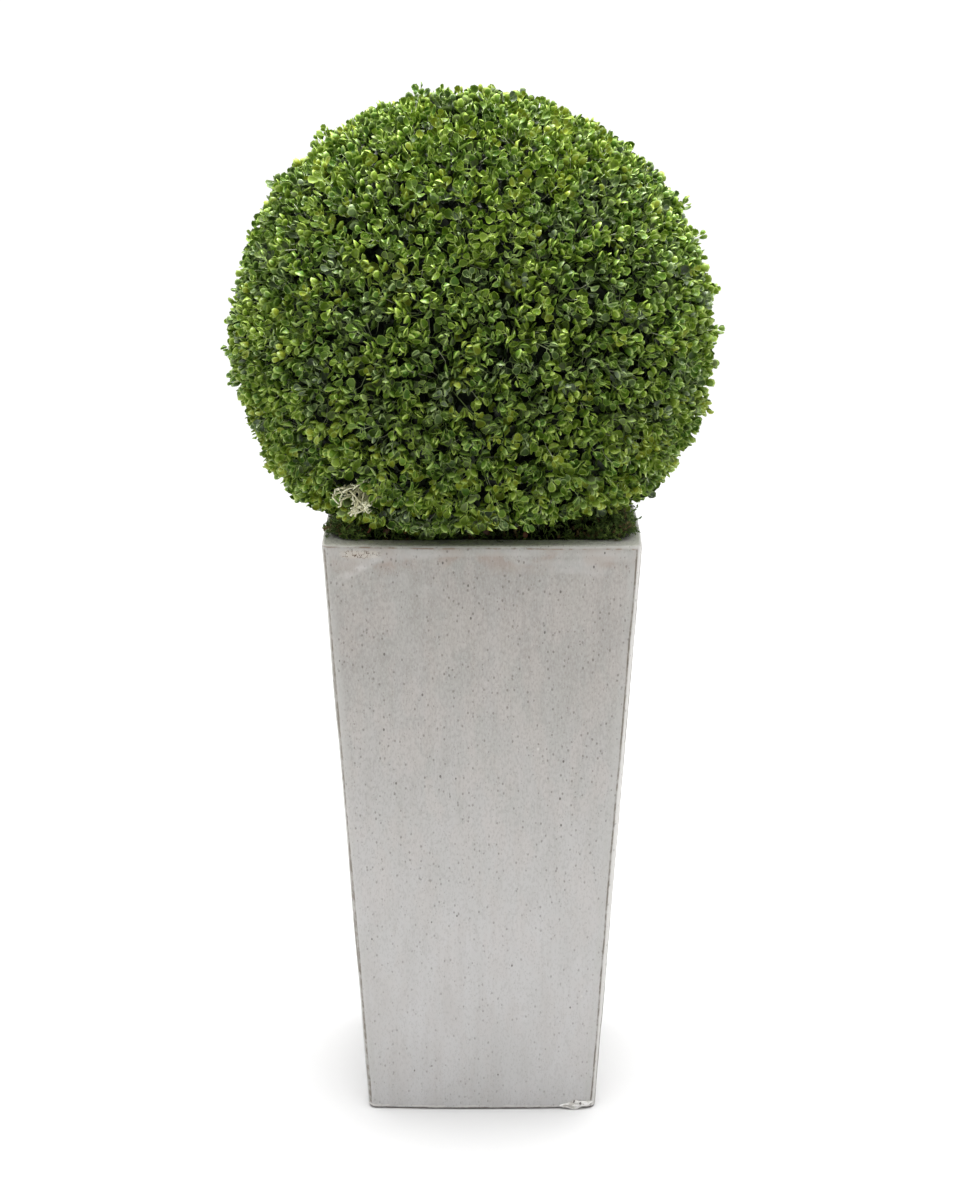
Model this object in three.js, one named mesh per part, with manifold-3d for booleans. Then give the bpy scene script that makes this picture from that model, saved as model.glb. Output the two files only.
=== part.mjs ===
// A ball of artificial box standing in a tall tapered square pot of glazed stoneware.
//
// The ball is one dense clipped mass: a round core that sprigs stand out of on every side, each
// a three-sided twig with opposite pairs of cupped leaves. It is threaded on a short stem that
// rises from the fill of the pot. Moss covers the fill and is packed into the four corners of
// the pot's mouth, and a pale tuft of reindeer lichen is pressed into the ball at its lower left.
//
// Millimetres, +Z up. The origin is the middle of the pot's underside, and the front is -Y.
import * as THREE from "three";
import { mergeVertices } from "three/addons/utils/BufferGeometryUtils.js";
import Module from "manifold-3d";

const wasm = await Module();
wasm.setup();

const DEGREE = Math.PI / 180;

// The clearance left between pieces that rest on or in each other.
const GAP = 0.3;

// Pot: a tapered square with bowed faces, rounded corners and a lip that is turned inwards.
const POT_HEIGHT = 757;
const POT_TOP_WIDTH = 380;
const POT_FOOT_WIDTH = 290;
const POT_CORNER_RADIUS = 9;
const POT_FACE_BOW = 4;
const POT_EDGE_ROUND = 5;
const POT_WALL = 13;
const POT_FLOOR = 20;
const LIP_WIDTH = 32;
const LIP_DEPTH = 40;
const LIP_INNER_CHAMFER = 4;
const CAVITY_CORNER_RADIUS = 14;
const CORNER_STEPS = 4;

// Ball: its centre stands this far above the lip, a little left of the pot's axis.
const BALL_RADIUS = 301;
const BALL_RISE = 220;
const BALL_OFFSET_X = -12;
const CORE_RADIUS = 262;
const CORE_DETAIL = 5;
const CORE_DENT = 8;
const CORE_DENT_PITCH = 19;

// Stem: from the top of the fill to a point inside the core.
const STEM_RADIUS = 17;
const STEM_TIP_RADIUS = 14;
const STEM_FLARE_RADIUS = 30;
const STEM_FLARE_HEIGHT = 45;
const STEM_FLARE_STEPS = 5;
const STEM_LENGTH = 270;
const STEM_SIDES = 16;

// Fill and moss: depths are measured down from the top of the lip. Each corner wad spreads out
// over the side lips and much less over the front and back ones.
const FILL_DEPTH = 112;
const MOSS_BED_DEPTH = 26;
const MOSS_SIDE_REACH = POT_TOP_WIDTH / 2 - 3;
const MOSS_FRONT_REACH = POT_TOP_WIDTH / 2 - 25;
const MOSS_LEG = 92;
const MOSS_LUMPS = 11;
const MOSS_LUMP_RADIUS = 20;
const MOSS_LUMP_SCATTER = 7;
const MOSS_LUMP_LIFT = 16;

// Sprigs of the ball, set out evenly over it on a golden spiral.
const SPRIG_COUNT = 132;
const SPRIG_JITTER = 0.1;
const SPRIG_TIP_MARGIN = 3;
const SPRIG_TIP_SPREAD = 6;
const TWIG_RADIUS = 7;
const TWIG_SINK = 10;
const TWIG_SIDES = 3;
const LEAF_LENGTH = 42;
const LEAF_WIDTH = 33;
const LEAF_THICKNESS = 2.4;
const LEAF_CUP = 4;
const LEAF_SIDES = 4;
const LEAF_BROADEST = 0.64;
const LEAF_SMALLEST = 0.86;
const LEAF_SIZE_RANGE = 0.24;
const LEAF_SWING = 0.5;
const LEAF_ROOT_OFFSET = 1.2;
const LEAF_LIP_CLEARANCE = 6;
// Pairs of opposite leaves on each sprig: how far below the twig's tip a pair springs, and how
// far its leaves open away from the twig.
const LEAF_PAIRS = [
  { drop: 28, open: 48 * DEGREE },
  { drop: 31, open: 77 * DEGREE },
];

// Lichen tuft: short branching fingers on a small cushion, in a round pocket of the ball.
const LICHEN_AZIMUTH = -124 * DEGREE;
const LICHEN_ELEVATION = -34.6 * DEGREE;
const LICHEN_DEPTH = 18;
const LICHEN_RADIUS = 26;
const LICHEN_CUSHION_RADIUS = 13;
const LICHEN_FINGERS = 16;
const LICHEN_FINGER_RADIUS = 3.4;

const GOLDEN_ANGLE = Math.PI * (3 - Math.sqrt(5));
const UP = new THREE.Vector3(0, 0, 1);
const BALL_CENTRE = new THREE.Vector3(BALL_OFFSET_X, 0, POT_HEIGHT + BALL_RISE);
const FILL_TOP = POT_HEIGHT - FILL_DEPTH;
const MOSS_BED_TOP = POT_HEIGHT - MOSS_BED_DEPTH;
const LIP_UNDERSIDE = POT_HEIGHT - LIP_DEPTH;
const MOUTH_WIDTH = POT_TOP_WIDTH - 2 * LIP_WIDTH;
const ABOVE_POT = POT_HEIGHT + 1;
const LICHEN_CENTRE = new THREE.Vector3(
  Math.cos(LICHEN_ELEVATION) * Math.cos(LICHEN_AZIMUTH),
  Math.cos(LICHEN_ELEVATION) * Math.sin(LICHEN_AZIMUTH),
  Math.sin(LICHEN_ELEVATION),
)
  .multiplyScalar(BALL_RADIUS - LICHEN_DEPTH)
  .add(BALL_CENTRE);

const FINISHES = {
  glaze: { color: 0xb5b3af, roughness: 0.45 },
  fill: { color: 0x4a3a2b, roughness: 0.95 },
  moss: { color: 0x3a4a20, roughness: 0.95 },
  lichen: { color: 0xc9c5a4, roughness: 0.9 },
  bark: { color: 0x5b4a38, roughness: 0.9 },
  leaf: { color: 0x56762a, roughness: 0.5 },
};

// Repeatable random number from 0 to 1 for the j-th choice about the i-th thing.
function chance(i, j) {
  const s = Math.sin(i * 12.9898 + j * 78.233) * 43758.5453;
  return s - Math.floor(s);
}

// A closed three.js geometry as a solid that can be joined and cut.
function solidOf(geometry) {
  const bare = geometry.index ? geometry.toNonIndexed() : geometry.clone();
  bare.deleteAttribute("normal");
  bare.deleteAttribute("uv");
  const merged = mergeVertices(bare, 1e-3);
  return new wasm.Manifold(
    new wasm.Mesh({
      numProp: 3,
      vertProperties: merged.attributes.position.array,
      triVerts: new Uint32Array(merged.index.array),
    }),
  );
}

// The largest body of a solid as a three.js geometry. Loose scraps and sealed hollows go.
function geometryOf(solid) {
  const bodies = solid.decompose();
  const largest = bodies.reduce((a, b) => (b.volume() > a.volume() ? b : a));
  const mesh = largest.getMesh();
  const points = new Float32Array(mesh.numVert * 3);
  for (let i = 0; i < mesh.numVert; i++) {
    const first = i * mesh.numProp;
    points.set(mesh.vertProperties.subarray(first, first + 3), i * 3);
  }
  const geometry = new THREE.BufferGeometry();
  geometry.setAttribute("position", new THREE.BufferAttribute(points, 3));
  geometry.setIndex(new THREE.BufferAttribute(mesh.triVerts, 1));
  geometry.computeVertexNormals();
  return geometry;
}

// A named mesh in one of the finishes.
function piece(name, solid, finish) {
  const material = new THREE.MeshStandardMaterial({ metalness: 0, ...FINISHES[finish] });
  const mesh = new THREE.Mesh(geometryOf(solid), material);
  mesh.name = name;
  return mesh;
}

// Outline of a square with rounded corners, its sides bowed outwards by bow.
function squareOutline(width, cornerRadius, bow) {
  const half = width / 2;
  const straight = half - cornerRadius;
  const shape = new THREE.Shape();
  shape.moveTo(-straight, -half);
  for (let side = 0; side < 4; side++) {
    const turn = (side * Math.PI) / 2;
    const at = (x, y) => [
      x * Math.cos(turn) - y * Math.sin(turn),
      x * Math.sin(turn) + y * Math.cos(turn),
    ];
    shape.quadraticCurveTo(...at(0, -half - 2 * bow), ...at(straight, -half));
    shape.absarc(...at(straight, -straight), cornerRadius, turn - Math.PI / 2, turn, false);
  }
  return shape;
}

// A block with a square outline from one height to another, its top and bottom edges rounded
// by edge. Its width changes evenly from lowWidth to highWidth.
function taperedBlock({ low, high, lowWidth, highWidth, corner, bow = 0, edge = 0 }) {
  const geometry = new THREE.ExtrudeGeometry(squareOutline(highWidth, corner, bow), {
    depth: high - low - 2 * edge,
    curveSegments: CORNER_STEPS,
    bevelEnabled: edge > 0,
    bevelThickness: edge,
    bevelSize: edge,
    bevelOffset: -edge,
    bevelSegments: 3,
  });
  geometry.translate(0, 0, low + edge);
  const place = geometry.attributes.position;
  for (let i = 0; i < place.count; i++) {
    const share = (place.getZ(i) - low) / (high - low);
    const scale = (lowWidth + (highWidth - lowWidth) * share) / highWidth;
    place.setXY(i, place.getX(i) * scale, place.getY(i) * scale);
  }
  return solidOf(geometry);
}

// What fills the inside of the pot between two heights, kept clear of its walls by inset. It is
// wide below the lip and narrow within it.
function insideOfPot(low, high, inset) {
  const wideTop = Math.min(high, LIP_UNDERSIDE - inset);
  const widthAt = (z) => {
    const outside = POT_FOOT_WIDTH + ((POT_TOP_WIDTH - POT_FOOT_WIDTH) * z) / POT_HEIGHT;
    return outside - 2 * (POT_WALL + inset);
  };
  const blocks = [];
  if (low < wideTop) {
    blocks.push(
      taperedBlock({
        low,
        high: wideTop,
        lowWidth: widthAt(low),
        highWidth: widthAt(wideTop),
        corner: CAVITY_CORNER_RADIUS,
      }),
    );
  }
  if (high > LIP_UNDERSIDE) {
    blocks.push(
      taperedBlock({
        low: Math.max(low, wideTop - 1),
        high,
        lowWidth: MOUTH_WIDTH - 2 * inset,
        highWidth: MOUTH_WIDTH - 2 * inset,
        corner: CAVITY_CORNER_RADIUS,
      }),
    );
  }
  return wasm.Manifold.union(blocks);
}

function pot() {
  const outside = taperedBlock({
    low: 0,
    high: POT_HEIGHT,
    lowWidth: POT_FOOT_WIDTH,
    highWidth: POT_TOP_WIDTH,
    corner: POT_CORNER_RADIUS,
    bow: POT_FACE_BOW,
    edge: POT_EDGE_ROUND,
  });
  const chamfer = taperedBlock({
    low: POT_HEIGHT - LIP_INNER_CHAMFER,
    high: ABOVE_POT,
    lowWidth: MOUTH_WIDTH,
    highWidth: MOUTH_WIDTH + 2 * (LIP_INNER_CHAMFER + 1),
    corner: CAVITY_CORNER_RADIUS + LIP_INNER_CHAMFER,
  });
  return outside.subtract(insideOfPot(POT_FLOOR, ABOVE_POT, 0)).subtract(chamfer);
}

function potFill() {
  return insideOfPot(POT_FLOOR + GAP, FILL_TOP, GAP);
}

// The stem, made larger all round by grow where it is used as a cutter.
function stem(grow = 0) {
  const foot = grow > 0 ? -grow : GAP;
  const radiusAt = (z) => {
    const flare = (STEM_FLARE_RADIUS - STEM_RADIUS) * (1 - z / STEM_FLARE_HEIGHT) ** 2;
    return STEM_RADIUS + flare + grow;
  };
  const profile = [new THREE.Vector2(0, foot), new THREE.Vector2(radiusAt(foot), foot)];
  for (let i = 1; i <= STEM_FLARE_STEPS; i++) {
    const z = (i / STEM_FLARE_STEPS) * STEM_FLARE_HEIGHT;
    profile.push(new THREE.Vector2(radiusAt(z), z));
  }
  profile.push(new THREE.Vector2(STEM_TIP_RADIUS + grow, STEM_LENGTH + grow));
  profile.push(new THREE.Vector2(0, STEM_LENGTH + grow));
  const geometry = new THREE.LatheGeometry(profile, STEM_SIDES);
  geometry.rotateX(Math.PI / 2);
  geometry.translate(BALL_OFFSET_X, 0, FILL_TOP);
  return solidOf(geometry);
}

// A faceted ball about a point.
function lump(centre, radius, detail, turn = 0) {
  const geometry = new THREE.IcosahedronGeometry(radius, detail);
  geometry.rotateZ(turn);
  geometry.translate(...centre);
  return solidOf(geometry);
}

// The space that moss leaves free for the ball.
function ballSpace() {
  return lump(BALL_CENTRE, BALL_RADIUS + 1, 7);
}

// Moss over the fill, dished under the ball.
function mossBed() {
  const slab = insideOfPot(FILL_TOP + GAP, MOSS_BED_TOP, GAP);
  return slab.subtract(ballSpace()).subtract(stem(GAP));
}

// A wad of moss packed under the ball in one corner of the mouth. Its lumps lie in two rows,
// a low one along the lips and a higher one nearer the ball.
function mossCorner(signX, signY) {
  const lumps = [];
  for (let row = 0; row < 2; row++) {
    for (let i = 0; i < MOSS_LUMPS; i++) {
      const along = (2 * i) / (MOSS_LUMPS - 1) - 1;
      const leg = Math.abs(along);
      const seed = i + MOSS_LUMPS * (row + 2 * (signX + 3 * signY));
      const radius = MOSS_LUMP_RADIUS * (0.85 + 0.25 * chance(seed, 1)) * (1 - 0.4 * leg);
      const inward = radius * (1 + 0.9 * row) + MOSS_LUMP_SCATTER * chance(seed, 2);
      const x = MOSS_SIDE_REACH - inward - (along > 0 ? leg * MOSS_LEG : 0);
      const y = MOSS_FRONT_REACH - inward - (along < 0 ? leg * MOSS_LEG : 0);
      const lift = MOSS_LUMP_LIFT * row * (1 - leg) + MOSS_LUMP_SCATTER * (chance(seed, 3) - 0.5);
      const z = POT_HEIGHT + radius * 0.4 + lift;
      lumps.push(lump([signX * x, signY * y, z], radius, 1, seed));
    }
  }
  const lipSpace = taperedBlock({
    low: LIP_UNDERSIDE,
    high: POT_HEIGHT + GAP,
    lowWidth: POT_TOP_WIDTH + MOSS_LUMP_RADIUS,
    highWidth: POT_TOP_WIDTH + MOSS_LUMP_RADIUS,
    corner: POT_CORNER_RADIUS,
  });
  const overLip = wasm.Manifold.union(lumps).subtract(lipSpace);
  const corner = new THREE.BoxGeometry(MOUTH_WIDTH / 2, MOUTH_WIDTH / 2, 2 * POT_HEIGHT);
  const cornerMiddle = MOUTH_WIDTH / 2 - MOSS_LEG / 2 + MOUTH_WIDTH / 8;
  corner.translate(signX * cornerMiddle, signY * cornerMiddle, POT_HEIGHT);
  const inMouth = insideOfPot(MOSS_BED_TOP + GAP, POT_HEIGHT + 2, 2 * GAP);
  return overLip.add(inMouth.intersect(solidOf(corner))).subtract(ballSpace());
}

// Direction of the k-th of count points spread evenly over a ball, nudged by the jitter.
function sprigDirection(k, count) {
  const step = Math.sqrt((4 * Math.PI) / count) * SPRIG_JITTER;
  const z = 1 - (2 * k + 1) / count;
  const around = k * GOLDEN_ANGLE;
  const flat = Math.sqrt(1 - z * z);
  const direction = new THREE.Vector3(flat * Math.cos(around), flat * Math.sin(around), z);
  const nudge = new THREE.Vector3(chance(k, 1) - 0.5, chance(k, 2) - 0.5, chance(k, 3) - 0.5);
  return direction.addScaledVector(nudge, 2 * step).normalize();
}

// One cupped leaf, narrow at its root and broad near its tip, lying along +X, facing +Y.
function leafBlade() {
  const blade = new THREE.SphereGeometry(1, LEAF_SIDES, 2);
  const place = blade.attributes.position;
  for (let i = 0; i < place.count; i++) {
    const x = place.getX(i);
    const along = (x + 1) / 2 + (LEAF_BROADEST - 0.5) * (1 - x * x);
    const cup = (1 - x * x) * (1 - Math.abs(place.getZ(i))) * LEAF_CUP;
    const rise = (place.getY(i) * LEAF_THICKNESS) / 2 - cup;
    place.setXYZ(i, along * LEAF_LENGTH, rise, (place.getZ(i) * LEAF_WIDTH) / 2);
  }
  return blade;
}

// True if a point is inside the ball's space and clear of the lip and the lichen.
function inBallSpace(point) {
  const offAxis = Math.max(Math.abs(point.x), Math.abs(point.y));
  const overLip = offAxis > MOUTH_WIDTH / 2 - LEAF_LIP_CLEARANCE;
  const nearPot = offAxis < POT_TOP_WIDTH / 2 + LEAF_LIP_CLEARANCE;
  const low = point.z < POT_HEIGHT + LEAF_LIP_CLEARANCE / 2;
  const hitsLichen = point.distanceTo(LICHEN_CENTRE) < LICHEN_RADIUS + GAP;
  const inside = point.distanceTo(BALL_CENTRE) <= BALL_RADIUS;
  return inside && !(overLip && nearPot && low) && !hitsLichen;
}

// True if every corner of a geometry lies in the ball's space.
function staysInBallSpace(geometry) {
  const place = geometry.attributes.position;
  const point = new THREE.Vector3();
  for (let i = 0; i < place.count; i++) {
    if (!inBallSpace(point.fromBufferAttribute(place, i))) return false;
  }
  return true;
}

// The k-th sprig as a list of geometries: its twig, then its leaves in opposite pairs, each
// pair turned a quarter from the one above. What would leave the ball's space is skipped.
function sprig(k, blade) {
  const axis = sprigDirection(k, SPRIG_COUNT);
  const side = new THREE.Vector3().crossVectors(UP, axis).normalize();
  const other = new THREE.Vector3().crossVectors(axis, side);
  const reach = BALL_RADIUS - SPRIG_TIP_MARGIN - SPRIG_TIP_SPREAD * chance(k, 4);
  const root = CORE_RADIUS - TWIG_SINK;
  const twig = new THREE.ConeGeometry(TWIG_RADIUS, reach - root, TWIG_SIDES);
  twig.rotateX(Math.PI / 2);
  const middle = BALL_CENTRE.clone().addScaledVector(axis, (reach + root) / 2);
  twig.applyMatrix4(new THREE.Matrix4().makeBasis(side, other, axis).setPosition(middle));
  if (!staysInBallSpace(twig)) return [];

  const grown = [twig];
  const turn = 2 * Math.PI * chance(k, 5);
  for (let i = 0; i < 2 * LEAF_PAIRS.length; i++) {
    const { drop, open } = LEAF_PAIRS[Math.floor(i / 2)];
    const quarters = Math.floor(i / 2) + 2 * (i % 2);
    const around = turn + (quarters * Math.PI) / 2 + LEAF_SWING * (chance(k, 10 + i) - 0.5);
    const outward = side.clone().multiplyScalar(Math.cos(around));
    outward.addScaledVector(other, Math.sin(around));
    const rise = Math.cos(open);
    const spread = Math.sin(open);
    const along = axis.clone().multiplyScalar(rise).addScaledVector(outward, spread);
    const facing = axis.clone().multiplyScalar(spread).addScaledVector(outward, -rise);
    const across = new THREE.Vector3().crossVectors(along, facing);
    const foot = BALL_CENTRE.clone().addScaledVector(axis, reach - drop);
    foot.addScaledVector(along, LEAF_ROOT_OFFSET);
    const size = LEAF_SMALLEST + LEAF_SIZE_RANGE * chance(k, 20 + i);
    const leaf = blade.clone().scale(size, size, size);
    leaf.applyMatrix4(new THREE.Matrix4().makeBasis(along, facing, across).setPosition(foot));
    if (staysInBallSpace(leaf)) grown.push(leaf);
  }
  return grown;
}

// The core: a ball with shallow dents all over.
function core() {
  const geometry = new THREE.IcosahedronGeometry(CORE_RADIUS, CORE_DETAIL);
  const place = geometry.attributes.position;
  const point = new THREE.Vector3();
  for (let i = 0; i < place.count; i++) {
    point.fromBufferAttribute(place, i);
    const { x, y, z } = point.clone().divideScalar(CORE_DENT_PITCH);
    const dent = (CORE_DENT * (3 + Math.sin(x) + Math.sin(y + 1) + Math.sin(z + 2))) / 6;
    point.setLength(CORE_RADIUS - dent).add(BALL_CENTRE);
    place.setXYZ(i, ...point);
  }
  return solidOf(geometry);
}

function foliageBall() {
  const blade = leafBlade();
  const parts = [core()];
  for (let k = 0; k < SPRIG_COUNT; k++) parts.push(...sprig(k, blade).map(solidOf));
  const pocket = lump(LICHEN_CENTRE, LICHEN_RADIUS + GAP, 3);
  return wasm.Manifold.union(parts).subtract(stem(GAP)).subtract(pocket);
}

// The lichen: fingers spread evenly round a cushion, kept within the pocket.
function lichenTuft() {
  const parts = [lump(LICHEN_CENTRE, LICHEN_CUSHION_RADIUS, 1)];
  for (let k = 0; k < LICHEN_FINGERS; k++) {
    const direction = sprigDirection(k, LICHEN_FINGERS);
    const finger = new THREE.ConeGeometry(LICHEN_FINGER_RADIUS, LICHEN_RADIUS, TWIG_SIDES + 1);
    finger.translate(0, LICHEN_RADIUS / 2, 0);
    const turn = new THREE.Quaternion().setFromUnitVectors(new THREE.Vector3(0, 1, 0), direction);
    finger.applyQuaternion(turn);
    finger.translate(...LICHEN_CENTRE);
    parts.push(solidOf(finger));
  }
  return wasm.Manifold.union(parts);
}

const model = new THREE.Group();
model.add(piece("pot", pot(), "glaze"));
model.add(piece("pot_fill", potFill(), "fill"));
model.add(piece("stem", stem(), "bark"));
model.add(piece("moss_bed", mossBed(), "moss"));
for (const [depth, signY] of [["front", -1], ["back", 1]]) {
  for (const [hand, signX] of [["left", -1], ["right", 1]]) {
    model.add(piece(`moss_${depth}_${hand}`, mossCorner(signX, signY), "moss"));
  }
}
model.add(piece("foliage_ball", foliageBall(), "leaf"));
model.add(piece("lichen_tuft", lichenTuft(), "lichen"));

export default model;
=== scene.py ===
import math

import bmesh
import bpy
import numpy as np
from bpy.props import FloatProperty, FloatVectorProperty, IntProperty, PointerProperty
from mathutils import Matrix, Vector, noise


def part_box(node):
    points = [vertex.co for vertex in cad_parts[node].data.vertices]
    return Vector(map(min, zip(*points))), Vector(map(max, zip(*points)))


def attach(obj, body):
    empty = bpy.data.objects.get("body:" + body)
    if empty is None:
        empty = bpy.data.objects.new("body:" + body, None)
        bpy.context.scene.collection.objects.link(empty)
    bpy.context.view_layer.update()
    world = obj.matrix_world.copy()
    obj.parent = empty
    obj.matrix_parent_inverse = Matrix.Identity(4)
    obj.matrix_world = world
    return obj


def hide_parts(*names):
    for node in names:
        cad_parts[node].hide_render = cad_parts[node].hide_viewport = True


bl_info = {
    "name": "Box ball in a square pot",
    "version": (1, 0, 0),
    "blender": (4, 5, 0),
    "location": "3D View > Sidebar > Box Ball",
    "description": "Makes a clipped ball of artificial box in a tall tapered square pot",
    "category": "Object",
}

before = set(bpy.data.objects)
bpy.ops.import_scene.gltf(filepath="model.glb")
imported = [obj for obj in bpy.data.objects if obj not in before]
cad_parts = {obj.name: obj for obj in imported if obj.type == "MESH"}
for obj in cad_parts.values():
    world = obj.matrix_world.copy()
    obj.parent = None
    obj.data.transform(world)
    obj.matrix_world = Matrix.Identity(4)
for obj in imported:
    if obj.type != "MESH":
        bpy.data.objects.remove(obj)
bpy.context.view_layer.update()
MM = 0.001
GOLDEN_ANGLE = math.pi * (3 - math.sqrt(5))
CHANCES = 8192

# Pot, in metres. Its height and width come from the frame.
_, POT_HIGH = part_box("pot")
LIP_TOP = POT_HIGH.z
LIP_DEPTH = 0.040
WALL = 0.013
FLOOR = 0.020
FACE_BOW = 0.004
FACE_STEP = 0.011
CORNER_RADIUS = 0.009
CAVITY_CORNER = 0.014
CORNER_SEGMENTS = 6
LIP_ROUND = 0.0042
MOUTH_ROUND = 0.0045
FOOT_ROUND = 0.0045
EDGE_SEGMENTS = 3
ROLL_HEIGHT = 0.0068
ROLL_SEED = 7

# Stem: heights above its foot and the radius there. Its top radius goes on to its top.
STEM_NODE = "stem"
STEM_PROFILE = [(0.0, 0.030), (0.008, 0.0265), (0.018, 0.0225), (0.030, 0.0188), (0.045, 0.017)]
STEM_TOP_RADIUS = 0.014

# Ball: its radii are those of its clipped outline, the forks, the core and the boughs' feet.
BALL_CENTRE = np.array([-0.012, 0.0, LIP_TOP + 0.220])
BALL_RADIUS = 0.301
FORK_RADIUS = 0.256
CORE_RADIUS = 0.254
BOUGH_FOOT_RADIUS = 0.246
BOUGH_END_RADIUS = 0.275
SOCKET_RADIUS = 0.0176
BOUGH_COUNT = 132
BOUGH_JITTER = 0.1
SPRIG_JITTER = 0.42
PROUD_SHARE = 0.065

# Leaves: a stalk and a margin, as shares of a leaf.
STALK = 0.26
STALK_HALF_WIDTH = 0.026
MARGIN = 0.09

# Leaf pairs on each twig: how far below the twig's tip a pair springs, how far its leaves open
# away from the twig in degrees, and their size against a full leaf.
TIP_PAIRS = [(0.0005, 26, 0.68), (0.0055, 46, 0.92)]
MIDDLE_PAIRS = [(0.0115, 52, 1.0), (0.0180, 62, 1.05)]
INNER_PAIRS = [(0.0250, 72, 1.05), (0.0320, 80, 1.0)]

# Families of sprigs, with the share of sprigs in each. Each has its own shades of leaf, and one
# colour for the leaves' margins.
FAMILIES = {"fresh": 0.44, "green": 0.35, "shaded": 0.21}
SHADE_LIMITS = [0.28, 0.56, 0.84]
# The last shade of the green and shaded families is a grey: partly dusty leaves, partly a painted sheen
# of the bright room on glossy leaves.
LEAF_COLOURS = {
    "tips": {
        "fresh": [(114, 142, 39), (124, 149, 50), (101, 133, 36), (141, 154, 47)],
        "green": [(88, 120, 34), (100, 128, 46), (78, 113, 33), (108, 124, 70)],
        "shaded": [(92, 114, 62), (70, 94, 42), (76, 102, 38), (106, 120, 94)],
    },
    # The middles' shades are darker copies of the tips', painted shade for their depth in the ball.
    "middles": {
        "fresh": [(93, 119, 28), (102, 126, 36), (80, 108, 26), (110, 124, 34)],
        "green": [(65, 90, 25), (73, 98, 31), (56, 80, 23), (80, 94, 50)],
        "shaded": [(65, 80, 46), (43, 58, 27), (52, 69, 25), (76, 86, 68)],
    },
}
# The margins are pale, partly the plastic's moulded edge and partly a painted highlight along it.
MARGIN_HIGHLIGHT_COLOURS = {
    "tips": {"fresh": (160, 182, 86), "green": (142, 168, 82), "shaded": (138, 158, 98)},
    # The middles' margins are darker copies too, painted shade for their depth.
    "middles": {"fresh": (132, 158, 60), "green": (112, 140, 58), "shaded": (98, 118, 64)},
}
# The inner leaves are near-black greens, painted shade of the ball's depths.
INNER_SHADE_COLOURS = [(30, 46, 12), (23, 38, 11), (28, 38, 18), (34, 44, 22)]
TWIG_COLOURS = [(150, 164, 116), (126, 146, 84), (164, 170, 140)]

# Moss: the share of the shoots on each node, their colours and how many take each.
WAD_NODES = ["moss_front_left", "moss_front_right", "moss_back_left", "moss_back_right"]
MOSS_SHARES = {"moss_bed": 0.2, **dict.fromkeys(WAD_NODES, 0.8)}
BANK_SHARE = 2.7
SHOOT_COLOURS = [(68, 88, 36), (92, 116, 48), (124, 146, 74), (98, 84, 50)]
SHOOT_SHARES = [0.40, 0.33, 0.15, 0.12]
SCRAP_COLOURS = [(112, 70, 44), (96, 116, 44), (84, 58, 38)]
SCRAP_COUNT = 22
FRONT_SCRAPS = 9

# Lichen: the length and the radius of its branches at each level, the spread of their starts and
# how far the tuft reaches each way.
BRANCH_LENGTHS = [0.0125, 0.0095, 0.0070, 0.0050]
BRANCH_RADII = [0.0016, 0.0014, 0.0012, 0.0010]
LICHEN_STARTS = 26
LICHEN_SPREAD = np.array([0.0100, 0.0060, 0.0070])
LICHEN_STRETCH = np.array([1.15, 0.85, 0.9])

# Lights: kind, power, place and the softness of each. Those with a place are turned to the ball.
BEAM = {"shadow_soft_size": 0.9, "spot_size": math.radians(17), "spot_blend": 0.6}
ROOF_TILT = math.radians(5)
LIGHTS = {
    "roof_light": ("SUN", 2.0, None, {"angle": math.radians(60)}),
    "top_light": ("AREA", 70, (0, 0.1, 2.6), {"size": 1.3}),
    "left_light": ("SPOT", 480, (-2.6, 0.8, 0.95), BEAM),
    "right_light": ("SPOT", 640, (2.6, 0.8, 0.95), BEAM),
}


# ---------------------------------------------------------------- small tools

def srgb(r, g, b):
    """A colour given as screen values from 0 to 255, as the shader wants it."""
    def linear(value):
        v = value / 255
        return v / 12.92 if v <= 0.04045 else ((v + 0.055) / 1.055) ** 2.4
    return (linear(r), linear(g), linear(b), 1.0)


def chance(i, j):
    """Repeatable random number from 0 to 1 for the j-th choice about the i-th thing."""
    return np.random.default_rng(j).random(CHANCES)[i]


def unit(vectors):
    """The vectors, each one unit long."""
    return vectors / np.linalg.norm(vectors, axis=-1, keepdims=True)


def across(vectors):
    """Two unit directions at right angles to each vector and to each other."""
    helper = np.where(np.abs(vectors[..., 2:]) < 0.9, [0.0, 0.0, 1.0], [1.0, 0.0, 0.0])
    side = unit(np.cross(helper, vectors))
    return side, np.cross(vectors, side)


def turned(a, b, angle):
    """Two directions at right angles, both turned by an angle in the plane they lie in."""
    return a * np.cos(angle) + b * np.sin(angle), b * np.cos(angle) - a * np.sin(angle)


def smoothly(x):
    """Eases x from 0 to 1."""
    t = np.clip(x, 0, 1)
    return t * t * (3 - 2 * t)


def square_reach(points):
    """How far each point lies from the upright axis, measured square like the pot."""
    return np.abs(points[..., :2]).max(axis=-1)


class Form:
    """A small shape as arrays, ready to be repeated: points, triangles and a slot for each."""

    def __init__(self, bm):
        bmesh.ops.triangulate(bm, faces=bm.faces[:])
        bm.verts.index_update()
        self.points = np.array([v.co for v in bm.verts])
        self.triangles = np.array([[v.index for v in f.verts] for f in bm.faces])
        self.slots = np.array([f.material_index for f in bm.faces])
        bm.free()


def add_object(name, mesh, materials):
    """Puts a finished mesh in the scene as a piece of the object."""
    for material in materials:
        mesh.materials.append(material)
    piece = bpy.data.objects.new(name, mesh)
    bpy.context.scene.collection.objects.link(piece)
    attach(piece, "root")
    return piece


def add_bmesh(name, bm, material):
    """Turns a bmesh into a smooth piece with outward normals."""
    bmesh.ops.recalc_face_normals(bm, faces=bm.faces[:])
    for face in bm.faces:
        face.smooth = True
    mesh = bpy.data.meshes.new(name)
    bm.to_mesh(mesh)
    bm.free()
    return add_object(name, mesh, [material])


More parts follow.
